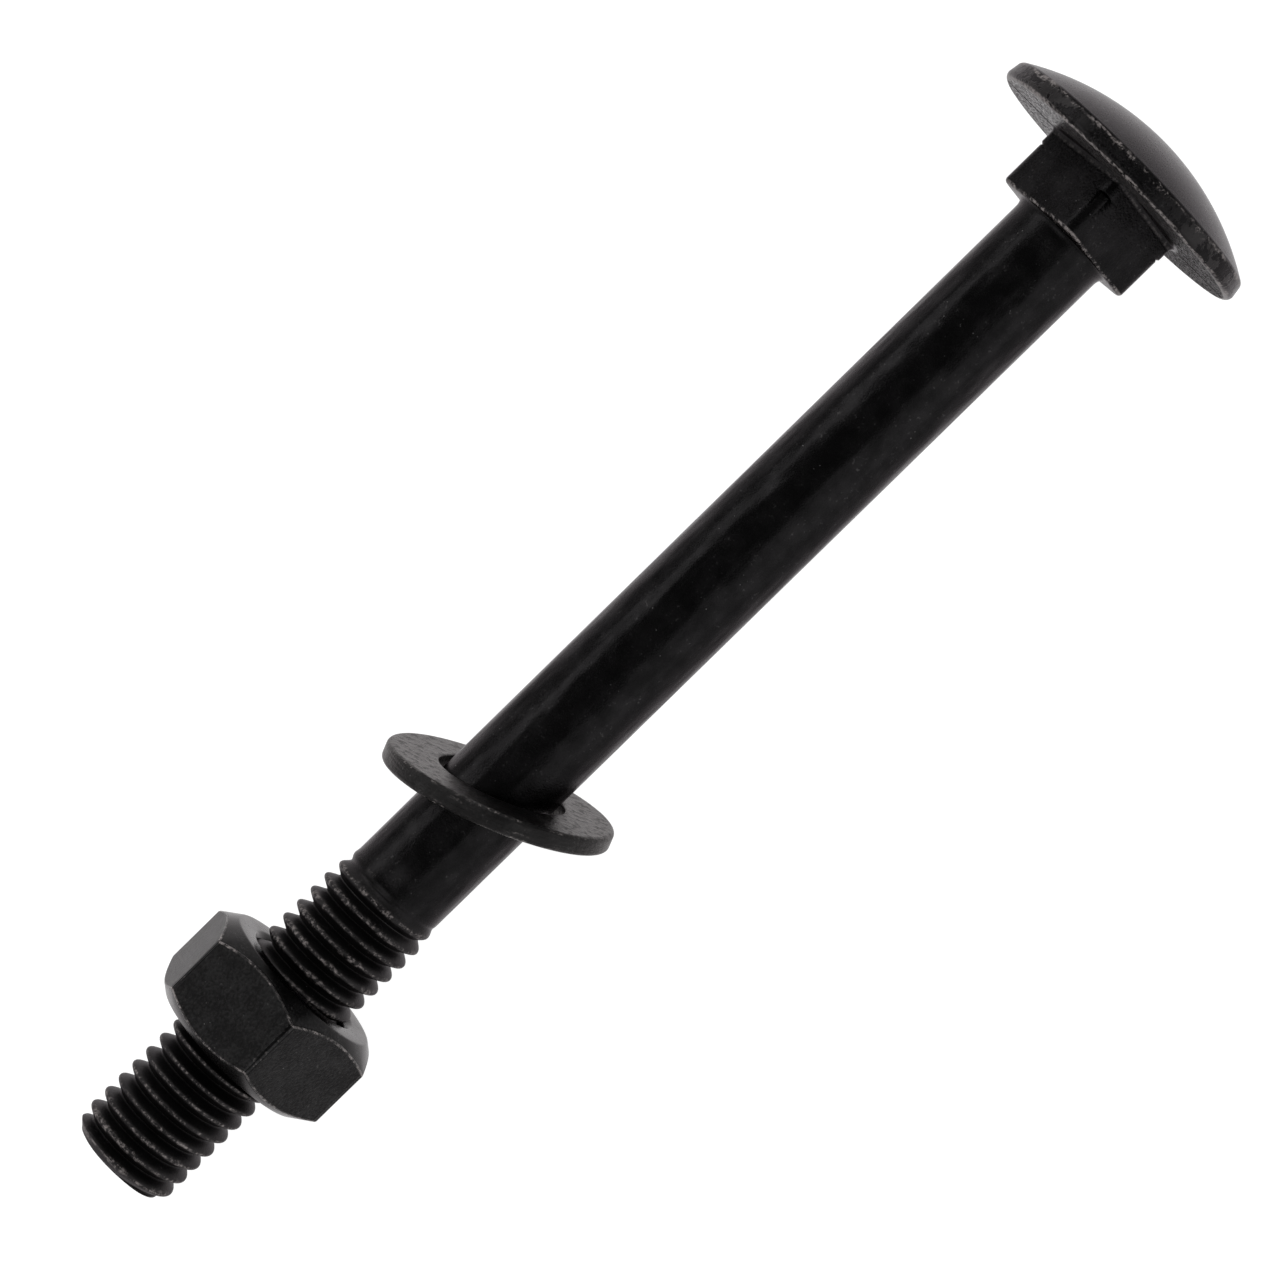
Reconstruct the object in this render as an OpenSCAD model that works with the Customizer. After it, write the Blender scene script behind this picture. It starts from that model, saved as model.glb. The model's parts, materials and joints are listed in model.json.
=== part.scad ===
// Carriage bolt with a domed head and a square neck, a loose flat washer on its shank
// and a hexagon nut part-way up its thread. The bolt lies on a level surface, carried by
// the rim of its head and by one flat of the nut. X runs from the tip towards the head.

/* [Bolt] */
// Length from the underside of the head to the tip
bolt_l = 89.5; // [80:0.1:100]
// Diameter of the plain shank, rolled down to the pitch diameter
shank_d = 7.05; // [6.8:0.05:7.3]
// Fillet where the shank meets the neck
shank_fillet = 0.4; // [0.2:0.05:0.6]

/* [Thread] */
// Diameter over the crests
thread_d = 7.86; // [7.7:0.02:7.9]
// Advance of one turn
pitch = 1.25; // [1:0.05:1.5]
// Full thread and run-out, measured from the tip
thread_l = 25.5; // [22:0.1:40]
// Depth of the thread, as a share of the pitch
depth_share = 0.64; // [0.5:0.01:0.66]
// Flat of a crest, as a share of the pitch
crest_share = 0.13; // [0.08:0.01:0.2]
// Width of a crest at its shoulders, as a share of the pitch
shoulder_share = 0.3; // [0.25:0.01:0.45]
// How far the shoulders lie below the crest
shoulder_drop = 0.1; // [0.04:0.01:0.15]
// Turns over which the thread runs out into the shank
fade_turns = 1.8; // [1:0.1:3]
// Diameter of the flat end of the tip
tip_d = 6.6; // [5:0.1:7]
// Direction in which the thread starts, seen from the head
thread_turn = 175; // [0:5:355]

/* [Square neck] */
// Width across the flats of the neck
neck_w = 7.9; // [7.5:0.1:8.5]
// Length of the neck below the head
neck_l = 4.6; // [3:0.1:5]
// Radius of the neck's four corners
neck_r = 0.85; // [0.75:0.05:1.2]
// Turn of the neck about the bolt, counted from a corner that points up
neck_turn = 17.5; // [-45:0.5:45]
// Radius of the fuller corners right under the head
pad_r = 0.65; // [0.4:0.05:0.7]
// Length over which the corners are fuller
pad_h = 1.3; // [1:0.1:1.8]
// Width that the neck gains where it flares into the head
flare = 0.6; // [0.2:0.1:1]
// Length of the flare
flare_h = 0.6; // [0.3:0.1:0.9]

/* [Head] */
// Diameter of the head
head_d = 20.2; // [18:0.1:22]
// Height of the head from its underside to the top of the dome
head_h = 4.2; // [4:0.1:5]
// Radius of the rounded edge below the rim
rim_r = 0.45; // [0.3:0.05:0.8]
// Height of the edge at which the rim ends and the dome begins
rim_h = 1.3; // [1.2:0.1:1.8]
// Radius by which the rim draws in towards the dome
rim_draw = 0.1; // [0.06:0.02:0.3]

/* [Nut] */
// Width across the flats
nut_w = 12.9; // [12.5:0.1:13]
// Height of the nut
nut_h = 6.7; // [6:0.1:7]
// Distance from the bolt's tip to the nut's outer face
nut_from_tip = 10.2; // [4:0.1:16]
// Width of the round face, as a share of the width across the flats
nut_face_share = 0.9; // [0.85:0.01:0.97]
// Slope of the chamfer at the nut's corners
nut_chamfer = 37; // [25:1:40]
// Radial gap between the thread's crests and the nut's bore
nut_gap = 0.07; // [0.05:0.01:0.1]
// Widening of the bore at each mouth
nut_sink = 0.35; // [0.2:0.05:0.5]

/* [Washer] */
// Outside diameter
washer_d = 15.8; // [14:0.1:17]
// Diameter of the hole
washer_hole = 8.8; // [8.6:0.1:9.4]
// Thickness
washer_t = 1.3; // [1.2:0.1:1.8]
// Radius of the rounded outer edges
washer_r = 0.3; // [0.1:0.05:0.4]
// Distance from the underside of the head to the washer's centre
washer_from_head = 55.1; // [20:0.1:56]
// Share of the largest tilt that the hole allows on the shank
washer_tilt = 0.8; // [0.3:0.01:0.9]
// Direction of that tilt: 0 leans the washer back, 90 turns it aside
washer_tilt_to = 57; // [0:1:90]
// Side shift of the washer, as a share of the gap round the shank
washer_shift = -0.3; // [-0.5:0.02:0.5]

/* [Hidden] */
$fn = 96;
BLACK_BOLT = [0.09, 0.09, 0.1];
BLACK_WASHER = [0.2, 0.2, 0.21];
BLACK_NUT = [0.13, 0.13, 0.14];
// Length by which joined shapes run into each other
bite = 0.5;

// Head: torus of the lower edge, cone of the rim, sphere of the dome
head_r = head_d / 2;
rim_at = head_r - rim_r;
dome_edge = head_r - rim_draw;
dome_rise = head_h - rim_h;
dome_r = (pow(dome_edge, 2) + pow(dome_rise, 2)) / (2 * dome_rise);

// Neck and shank
flare_w = neck_w - 0.1;
shank_r = shank_d / 2;
fillet_r = min(shank_fillet, neck_w / 2 - shank_r);
tip_at = -bolt_l;
shank_at = tip_at + thread_l;

// Thread: flat steps in one turn, radii, and where each line of the profile lies
steps = 24;
crest_r = thread_d / 2;
root_r = crest_r - depth_share * pitch;
tip_r = tip_d / 2;
chamfer_h = crest_r - tip_r + 0.2;
blend_r = shank_r - 0.04;
turns = ceil(thread_l / pitch) + 1;
LINE_AT = [0, (1 - shoulder_share) / 2, (1 - crest_share) / 2, (1 + crest_share) / 2, (1 + shoulder_share) / 2];
LINE_R = [root_r, crest_r - shoulder_drop, crest_r, crest_r, crest_r - shoulder_drop];
lines = len(LINE_AT);
start_turns = 1.1;
end_at = pitch * (turns + 1 - start_turns) + bite;

// Nut
nut_corner_r = nut_w / 2 / cos(30);
nut_face_r = nut_face_share * nut_w / 2;
nut_slope_h = (nut_corner_r - nut_face_r) * tan(nut_chamfer);
nut_bore_r = crest_r + nut_gap;
nut_at = bolt_l - nut_from_tip;

// Lying pose: the rim of the head and the outer end of one nut flat touch the surface
rest_run = nut_at - (nut_w / 2 - nut_face_r) * tan(nut_chamfer) + rim_r;
rest_drop = rim_at - nut_w / 2;
lie = atan(rest_drop / rest_run) + asin(rim_r / norm([rest_run, rest_drop]));
lie_z = rim_at * cos(lie) - rim_r * sin(lie) + rim_r;
tip_x = -bolt_l * cos(lie) - tip_r * sin(lie);
dome_x = (head_h - dome_r) * cos(lie) + dome_r;
lie_x = -(tip_x + dome_x) / 2;

// Washer: the largest tilt at which its hole clears the shank, and how it leans on it
washer_slack = (washer_hole - shank_d) / 2;
tilt_max = acos(shank_d / norm([washer_hole, washer_t])) - atan(washer_t / washer_hole);
tilt = washer_tilt * tilt_max;
lean = lie + tilt * cos(washer_tilt_to);
yaw = tilt * sin(washer_tilt_to);
washer_axis_z = lie_z - washer_from_head * sin(lie);
washer_floor_z = (washer_d / 2 - washer_r) * cos(lean) + (washer_t / 2 - washer_r) * sin(lean) + washer_r;
washer_rise = max(-washer_slack / 2, min(washer_slack / 2, washer_floor_z - washer_axis_z));

// Radius of a profile line at a height: faded into the shank where the thread runs out
function fade(z) = max(0, min(1, (thread_l - z) / (fade_turns * pitch)));
function line_r(j, z) = blend_r + (LINE_R[j] - blend_r) * fade(z);

// Points of the thread: row n is a step of the helix, line j a line of its profile; the
// helix starts a little over one turn before the tip
function row_point(n, j) =
    let (a = 360 * n / steps, z = pitch * (n / steps + LINE_AT[j] - start_turns), r = line_r(j, z))
    [r * cos(a), r * sin(a), z];
function ring_point(i, r, z) = [r * cos(360 * i / steps), r * sin(360 * i / steps), z];

// Lays the bolt's own frame, with its head upwards and the underside at 0, on the surface
module laid_down() {
    translate([lie_x, 0, lie_z]) rotate([0, 90 - lie, 0]) children();
}

// Helical skin of the thread, closed at both ends by a flat ring
module thread_helix() {
    last = turns * steps;
    points = [
        for (n = [0:last], j = [0:lines - 1]) row_point(n, j),
        for (n = [last + 1:last + steps]) row_point(n, 0),
        for (i = [0:steps - 1]) ring_point(i, root_r, -pitch * start_turns - bite),
        for (i = [0:steps - 1]) ring_point(i, blend_r, end_at)
    ];
    tip_ring = (last + 1) * lines + steps;
    end_ring = tip_ring + steps;
    // Index of a point; line number `lines` of a row is the first line one turn on
    function at(n, j) =
        j == lines ? at(n + steps, 0) : n <= last ? n * lines + j : (last + 1) * lines + n - last - 1;
    function tip(i) = tip_ring + i % steps;
    function end(i) = end_ring + i % steps;
    faces = [
        for (n = [0:last - 1], j = [0:lines - 1], half = [0, 1])
            half == 0 ? [at(n, j), at(n + 1, j + 1), at(n + 1, j)] : [at(n, j), at(n, j + 1), at(n + 1, j + 1)],
        for (i = [0:steps - 1]) [tip(i), at(i, 0), tip(i + 1)],
        for (i = [0:steps - 2]) [tip(i + 1), at(i, 0), at(i + 1, 0)],
        [at(steps - 1, 0), at(0, 0), tip(0)],
        for (j = [0:lines - 1]) [at(steps - 1, 0), at(0, j + 1), at(0, j)],
        for (i = [0:steps - 1]) [end(i), end(i + 1), at(last + i + 1, 0)],
        for (i = [1:steps - 1]) [end(i), at(last + i + 1, 0), at(last + i, 0)],
        [end(0), at(last + 1, 0), at(last + steps, 0)],
        for (j = [0:lines - 1]) [at(last + 1, 0), at(last, j), at(last, j + 1)],
        [for (i = [0:steps - 1]) tip(i)],
        [for (i = [steps - 1:-1:0]) end(i)]
    ];
    polyhedron(points, faces, convexity = 10);
}

// Threaded end from the tip up: the helix cut by the flat end and its chamfer
module threaded_end() {
    intersection() {
        rotate(thread_turn) thread_helix();
        union() {
            cylinder(h = chamfer_h, r1 = tip_r, r2 = tip_r + chamfer_h);
            translate([0, 0, chamfer_h]) cylinder(h = end_at, r = tip_r + chamfer_h);
        }
    }
}

// Half section of the head: flat underside, rounded lower edge, rim and dome
module head_profile() {
    intersection() {
        translate([0, head_h - dome_r]) circle(dome_r);
        union() {
            square([rim_at, head_h]);
            translate([rim_at, rim_r]) circle(rim_r);
            polygon([[0, rim_r], [head_r, rim_r], [dome_edge, rim_h], [dome_edge, head_h], [0, head_h]]);
        }
    }
}

// Square with true round corners
module rounded_square(w, r) {
    square([w, w - 2 * r], center = true);
    square([w - 2 * r, w], center = true);
    for (x = [-1, 1], y = [-1, 1]) translate([x, y] * (w / 2 - r)) circle(r);
}

// Plain shank with the fillet that carries it into the neck
module shank() {
    translate([0, 0, shank_at]) cylinder(h = -shank_at - neck_l + bite, r = shank_r);
    translate([0, 0, -neck_l - fillet_r]) rotate_extrude() difference() {
        square([shank_r + fillet_r, fillet_r + bite]);
        translate([shank_r + fillet_r, 0]) circle(fillet_r);
    }
}

// Square neck: fuller corners and a flare where it meets the head
module neck() {
    rotate(neck_turn - 45) {
        translate([0, 0, -neck_l]) linear_extrude(neck_l) rounded_square(neck_w, neck_r);
        translate([0, 0, -pad_h]) linear_extrude(pad_h + bite) rounded_square(neck_w, pad_r);
        translate([0, 0, -flare_h]) linear_extrude(flare_h, scale = (neck_w + flare) / flare_w)
            rounded_square(flare_w, pad_r);
    }
}

module carriage_bolt() {
    color(BLACK_BOLT) laid_down() {
        rotate_extrude() head_profile();
        neck();
        shank();
        translate([0, 0, tip_at]) threaded_end();
    }
}

// Half section of the nut's two chamfers, wide enough to leave the flats alone
module nut_profile() {
    polygon([
        [0, 0], [nut_face_r, 0], [nut_corner_r, nut_slope_h],
        [nut_corner_r, nut_h - nut_slope_h], [nut_face_r, nut_h], [0, nut_h]
    ]);
}

module hex_nut() {
    color(BLACK_NUT) laid_down() translate([0, 0, -nut_at]) difference() {
        intersection() {
            rotate(30) cylinder(h = nut_h, r = nut_corner_r, $fn = 6);
            rotate_extrude() nut_profile();
        }
        translate([0, 0, -bite]) cylinder(h = nut_h + 2 * bite, r = nut_bore_r);
        translate([0, 0, -bite]) cylinder(h = nut_sink + bite, r1 = nut_bore_r + nut_sink + bite, r2 = nut_bore_r);
        translate([0, 0, nut_h - nut_sink])
            cylinder(h = nut_sink + bite, r1 = nut_bore_r, r2 = nut_bore_r + nut_sink + bite);
    }
}

// Half section of the washer, with its outer edges rounded by the tumbling of loose parts
module washer_profile() {
    washer_edge = washer_d / 2;
    flat_t = washer_t - 2 * washer_r;
    difference() {
        union() {
            translate([0, -washer_t / 2]) square([washer_edge - washer_r, washer_t]);
            translate([0, -flat_t / 2]) square([washer_edge, flat_t]);
            for (z = [-1, 1]) translate([washer_edge - washer_r, z * flat_t / 2]) circle(washer_r);
        }
        translate([0, -washer_t]) square([washer_hole / 2, 2 * washer_t]);
    }
}

module flat_washer() {
    centre = [lie_x - washer_from_head * cos(lie), washer_shift * washer_slack, washer_axis_z + washer_rise];
    color(BLACK_WASHER) translate(centre) rotate([0, -lean, yaw]) rotate([0, 90, 0])
        rotate_extrude() washer_profile();
}

carriage_bolt();
flat_washer();
hex_nut();
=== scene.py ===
"""Black carriage bolt with a loose washer and a nut, lying on a pale studio floor."""

import json
import logging
import math
from dataclasses import dataclass, field
from enum import Enum
from typing import Callable, Iterable, Union

import bmesh
import bpy
from mathutils import Matrix, Vector

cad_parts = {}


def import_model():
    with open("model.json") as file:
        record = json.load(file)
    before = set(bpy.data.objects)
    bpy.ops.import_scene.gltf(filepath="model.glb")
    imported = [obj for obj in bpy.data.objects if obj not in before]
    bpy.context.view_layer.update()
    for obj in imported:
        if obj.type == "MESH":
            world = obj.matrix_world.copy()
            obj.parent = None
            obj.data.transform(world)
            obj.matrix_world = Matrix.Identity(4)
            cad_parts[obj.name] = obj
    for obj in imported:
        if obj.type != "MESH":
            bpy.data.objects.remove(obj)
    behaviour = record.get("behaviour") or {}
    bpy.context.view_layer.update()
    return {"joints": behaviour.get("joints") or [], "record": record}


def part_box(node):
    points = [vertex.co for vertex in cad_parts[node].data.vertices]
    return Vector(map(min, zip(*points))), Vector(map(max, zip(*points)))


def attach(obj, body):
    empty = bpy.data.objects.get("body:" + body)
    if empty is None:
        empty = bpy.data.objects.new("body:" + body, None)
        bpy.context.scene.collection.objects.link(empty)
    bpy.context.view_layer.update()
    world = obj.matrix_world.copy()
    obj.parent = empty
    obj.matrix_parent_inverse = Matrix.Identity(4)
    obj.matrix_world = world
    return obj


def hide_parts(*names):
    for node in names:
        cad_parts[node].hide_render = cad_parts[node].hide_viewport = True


LOG = logging.getLogger("scene")
MM = 0.001
PHOTO_SIDE = 1282
MERGE = 0.002
RELIEF = 0.00004
LINE_CORE = 0.2
RING = "ring"
CORNER = "corner"
OFF_CREST = "off_crest"

Noise = tuple[float, float, float]
GRIT: Noise = (0.3, 4.0, 0.75)


class Body(Enum):
    """Bodies of the frame that the pieces ride on."""

    BOLT = "bolt"
    WASHER = "washer"
    NUT = "nut"


class Slot(Enum):
    """Material slots of the record."""

    BOLT = "black_bolt_steel"
    WASHER = "black_washer_steel"
    NUT = "black_nut_steel"


class Ring(Enum):
    """What a ring of a turned profile becomes after the spin."""

    ROUND = 0
    SQUARE = 1
    WALL = 2
    WALL_LOW = 3
    WALL_HIGH = 4


@dataclass(frozen=True)
class Station:
    """One point of a turned profile, in millimetres; the corner is that of a square ring."""

    radius: float
    height: float
    ring: Ring = Ring.ROUND
    corner: float = 0.0


# Shader maths


@dataclass(frozen=True)
class Value:
    """A number that varies over a surface; Python's operators add Math nodes."""

    tree: "Tree"
    socket: bpy.types.NodeSocket

    def math(self, operation: str, *others: Union["Value", float]) -> "Value":
        """Adds one Math node.

        Args:
            operation: Name of the Math node's operation.
            others: Values after this one.

        Returns:
            The node's result.
        """
        inputs = {i: v for i, v in enumerate((self, *others))}
        node = self.tree.add("ShaderNodeMath", {"operation": operation}, inputs)
        return Value(self.tree, node.outputs[0])

    def __add__(self, other: Union["Value", float]) -> "Value":
        """Returns the sum."""
        return self.math("ADD", other)

    __radd__ = __add__

    def __mul__(self, other: Union["Value", float]) -> "Value":
        """Returns the product."""
        return self.math("MULTIPLY", other)

    __rmul__ = __mul__

    def __sub__(self, other: Union["Value", float]) -> "Value":
        """Returns the difference."""
        return self.math("SUBTRACT", other)

    def __rsub__(self, other: float) -> "Value":
        """Returns a plain number less this value."""
        node = self.tree.add("ShaderNodeMath", {"operation": "SUBTRACT"}, {0: other, 1: self})
        return Value(self.tree, node.outputs[0])

    def __truediv__(self, other: Union["Value", float]) -> "Value":
        """Returns the quotient."""
        return self.math("DIVIDE", other)

    def __pow__(self, other: float) -> "Value":
        """Returns this value to a power."""
        return self.math("POWER", other)

    def size(self) -> "Value":
        """Returns the value without its sign."""
        return self.math("ABSOLUTE")

    def above(self, other: Union["Value", float]) -> "Value":
        """Returns the larger of the two."""
        return self.math("MAXIMUM", other)

    def below(self, other: Union["Value", float]) -> "Value":
        """Returns the smaller of the two."""
        return self.math("MINIMUM", other)

    def step(self, start: float, end: float) -> "Value":
        """Maps a range softly onto 0 to 1.

        Args:
            start: Value that gives 0.
            end: Value that gives 1, which may be the smaller one.

        Returns:
            The mapped value.
        """
        low, high, first, last = (start, end, 0.0, 1.0) if start < end else (end, start, 1.0, 0.0)
        node = self.tree.add(
            "ShaderNodeMapRange",
            {"interpolation_type": "SMOOTHSTEP"},
            {"Value": self, "From Min": low, "From Max": high, "To Min": first, "To Max": last},
        )
        return Value(self.tree, node.outputs["Result"])

    def line(self, centre: float, half_width: float) -> "Value":
        """Returns 1 where the value is at the centre and 0 past the half width."""
        return (self - centre).size().step(half_width, half_width * LINE_CORE)


@dataclass(frozen=True)
class Place:
    """A position on a surface, in millimetres of the piece's own frame."""

    tree: "Tree"
    socket: bpy.types.NodeSocket

    def parts(self) -> tuple[Value, Value, Value]:
        """Returns the three coordinates."""
        node = self.tree.add("ShaderNodeSeparateXYZ", {}, {0: self})
        return tuple(Value(self.tree, output) for output in node.outputs)

    def stretched(self, x: float, y: float, z: float) -> "Place":
        """Returns the position with each coordinate multiplied."""
        node = self.tree.add("ShaderNodeMapping", {}, {"Vector": self, "Scale": (x, y, z)})
        return Place(self.tree, node.outputs[0])

    def noise(self, grain: float, detail: float = 2.0, roughness: float = 0.5) -> Value:
        """Adds a noise whose blotches are about one grain long.

        Args:
            grain: Length of a blotch in millimetres.
            detail: Number of finer layers.
            roughness: Weight of the finer layers.

        Returns:
            The noise, from 0 to 1.
        """
        node = self.tree.add(
            "ShaderNodeTexNoise",
            {"noise_dimensions": "3D"},
            {"Vector": self, "Scale": 1 / grain, "Detail": detail, "Roughness": roughness},
        )
        return Value(self.tree, node.outputs[0])

    def specks(self, spacing: float) -> Value:
        """Returns the distance to the nearest of many scattered points, in spacings."""
        inputs = {"Vector": self, "Scale": 1 / spacing}
        node = self.tree.add("ShaderNodeTexVoronoi", {"feature": "F1"}, inputs)
        return Value(self.tree, node.outputs["Distance"])


class Tree:
    """Node tree that is filled by one method."""

    def __init__(self, nodes: bpy.types.NodeTree) -> None:
        """Empties the tree."""
        self.nodes = nodes
        self.nodes.nodes.clear()

    def add(self, kind: str, settings: dict[str, object], inputs: dict[object, object]) -> bpy.types.Node:
        """Adds one node.

        Args:
            kind: The node's type.
            settings: Its properties, set first.
            inputs: Values or links of its sockets, by name or number.

        Returns:
            The node.
        """
        node = self.nodes.nodes.new(kind)
        for name, value in settings.items():
            setattr(node, name, value)
        for name, value in inputs.items():
            if isinstance(value, (Value, Place)):
                self.nodes.links.new(value.socket, node.inputs[name])
            elif isinstance(value, bpy.types.NodeSocket):
                self.nodes.links.new(value, node.inputs[name])
            else:
                node.inputs[name].default_value = value
        return node

    def mix(self, factor: Value, low: object, high: object) -> bpy.types.NodeSocket:
        """Mixes two colours.

        Args:
            factor: Share of the second colour.
            low: First colour or its socket.
            high: Second colour or its socket.

        Returns:
            Socket of the mixed colour.
        """
        node = self.add("ShaderNodeMix", {"data_type": "RGBA"}, {"Factor": factor, 6: low, 7: high})
        return node.outputs[2]

    def place(self, frame: Matrix) -> Place:
        """Reads Object coordinates and turns them into a piece's own frame.

        Args:
            frame: Matrix from the piece's frame in millimetres to the scene in metres.

        Returns:
            The position in the piece's frame.
        """
        inverse = frame.inverted()
        coordinates = self.add("ShaderNodeTexCoord", {}, {})
        node = self.add(
            "ShaderNodeMapping",
            {"vector_type": "POINT"},
            {
                "Vector": coordinates.outputs["Object"],
                "Location": inverse.to_translation(),
                "Rotation": inverse.to_euler(),
                "Scale": inverse.to_scale(),
            },
        )
        return Place(self, node.outputs[0])

    def attribute(self, name: str) -> Value:
        """Returns a number stored on the mesh."""
        settings = {"attribute_type": "GEOMETRY", "attribute_name": name}
        node = self.add("ShaderNodeAttribute", settings, {})
        return Value(self, node.outputs["Fac"])

    def finish(self, principled: bpy.types.Node) -> None:
        """Joins a surface shader to the output."""
        self.add("ShaderNodeOutputMaterial", {}, {"Surface": principled.outputs[0]})


def grey(value: float) -> tuple[float, float, float, float]:
    """Returns a neutral colour."""
    return (value, value, value, 1.0)


def along(x: Value, y: Value, degrees: float) -> Value:
    """Returns the distance from the axis towards a direction about it."""
    angle = math.radians(degrees)
    return x * math.cos(angle) + y * math.sin(angle)


# Mesh helpers


def arc(
    centre: tuple[float, float], radius: float, start: float, end: float, steps: int
) -> list[Station]:
    """Points of a round corner of a profile.

    Args:
        centre: Radius and height of the corner's centre.
        radius: Radius of the corner.
        start: First angle in degrees, 0 outwards and 90 up.
        end: Last angle in degrees.
        steps: Number of edges.

    Returns:
        The stations, both ends included.
    """
    across, height = centre
    angles = [math.radians(start + (end - start) * i / steps) for i in range(steps + 1)]
    return [Station(across + radius * math.cos(a), height + radius * math.sin(a)) for a in angles]


def hollow(radius: float, height: float, depth: float, length: float, steps: int) -> list[Station]:
    """Points of a hollow corner that runs down from a face into a wall.

    Args:
        radius: Radius of the wall.
        height: Height of the face.
        depth: How far the corner reaches out along the face.
        length: How far it reaches down the wall.
        steps: Number of edges.

    Returns:
        The stations from the face to the wall.
    """
    angles = [math.radians(90 * i / steps) for i in range(steps + 1)]
    return [
        Station(radius + depth * (1 - math.sin(a)), height - length * (1 - math.cos(a)))
        for a in angles
    ]


def add_profile(
    mesh: bmesh.types.BMesh, stations: Iterable[Station], turn: float, closed: bool = False
) -> list:
    """Draws a profile in the half plane at an angle about the axis.

    Args:
        mesh: Mesh that takes the profile.
        stations: Points of the profile.
        turn: Angle of the half plane in degrees.
        closed: True if the last point joins the first.

    Returns:
        The new vertices and edges.
    """
    layers = mesh.verts.layers
    if RING not in layers.int:
        layers.int.new(RING)
        layers.float.new(CORNER)
    rings, corners = layers.int[RING], layers.float[CORNER]
    angle = math.radians(turn)
    x, y = math.cos(angle), math.sin(angle)
    verts = []
    for station in stations:
        vert = mesh.verts.new((station.radius * x, station.radius * y, station.height))
        vert[rings] = station.ring.value
        vert[corners] = station.corner
        verts.append(vert)
    pairs = list(zip(verts, verts[1:]))
    if closed:
        pairs.append((verts[-1], verts[0]))
    return verts + [mesh.edges.new(pair) for pair in pairs]


def spin(mesh: bmesh.types.BMesh, geometry: list, segments: int) -> None:
    """Turns a profile once about the axis and merges the poles.

    Args:
        mesh: Mesh that holds the profile.
        geometry: The profile's vertices and edges.
        segments: Number of steps round the axis.
    """
    bmesh.ops.spin(
        mesh, geom=geometry, cent=(0, 0, 0), axis=(0, 0, 1), dvec=(0, 0, 0),
        angle=math.tau, steps=segments, use_merge=True, use_duplicate=False,
    )
    bmesh.ops.remove_doubles(mesh, verts=mesh.verts, dist=MERGE)


def crowd(angle: float, sides: int, first: float, share: float) -> tuple[float, float]:
    """Draws a direction towards the nearest corner of a polygon, so that its points gather there.

    Args:
        angle: Direction of a point.
        sides: Number of corners.
        first: Direction of one corner.
        share: How strongly the points gather, from 0 to 1.

    Returns:
        The new direction, and its angle from the middle of its side.
    """
    half = math.pi / sides
    off = (angle - first + half) % (2 * half) - half
    drawn = off * (1 - share + share * (off / half) ** 2)
    return angle - off + drawn, half - abs(drawn)


def rounded(angle: float, apothem: float, corner: float, sides: int) -> float:
    """Returns the radius of a polygon with round corners at an angle from a side's middle."""
    half = math.pi / sides
    inner = apothem - corner
    if math.tan(angle) * apothem <= inner * math.tan(half):
        return apothem / math.cos(angle)
    reach, off = inner / math.cos(half), half - angle
    return reach * math.cos(off) + math.sqrt(max(0.0, corner**2 - (reach * math.sin(off)) ** 2))


def make_piece(
    name: str, mesh: bmesh.types.BMesh, frame: Matrix, crease: float
) -> bpy.types.Object:
    """Turns a mesh in millimetres into an object at the origin.

    Args:
        name: Name of the piece.
        mesh: Its mesh, freed here.
        frame: Matrix from millimetres of its frame to the scene.
        crease: Edges sharper than this many degrees are drawn sharp.

    Returns:
        The linked object.
    """
    bmesh.ops.recalc_face_normals(mesh, faces=mesh.faces)
    bmesh.ops.transform(mesh, matrix=frame, verts=mesh.verts)
    for face in mesh.faces:
        face.smooth = True
    data = bpy.data.meshes.new(name)
    mesh.to_mesh(data)
    mesh.free()
    data.set_sharp_from_angle(angle=math.radians(crease))
    piece = bpy.data.objects.new(name, data)
    bpy.context.scene.collection.objects.link(piece)
    return piece


def seat(
    piece: bpy.types.Object, node: str, body: Body, material: bpy.types.Material
) -> None:
    """Gives a piece its finish and its body, and hides the record's node that it stands for.

    Args:
        piece: The piece.
        node: Node of the record that it stands for.
        body: Body that it rides on.
        material: Its finish.
    """
    piece.data.materials.append(material)
    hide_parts(node)
    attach(piece, body.value)
    LOG.info("%s rides on %s, %d faces", piece.name, body.value, len(piece.data.polygons))


# Finishes


@dataclass(frozen=True)
class Marks:
    """What making and use have left on a piece; on the bolt, some pale and worn marks are painted
    reflection and painted highlight.

    Worn and pale are masks from 0 to 1, relief is in units of RELIEF, and rough is added roughness.
    """

    worn: Value
    pale: Value
    relief: Value
    rough: Value


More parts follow.
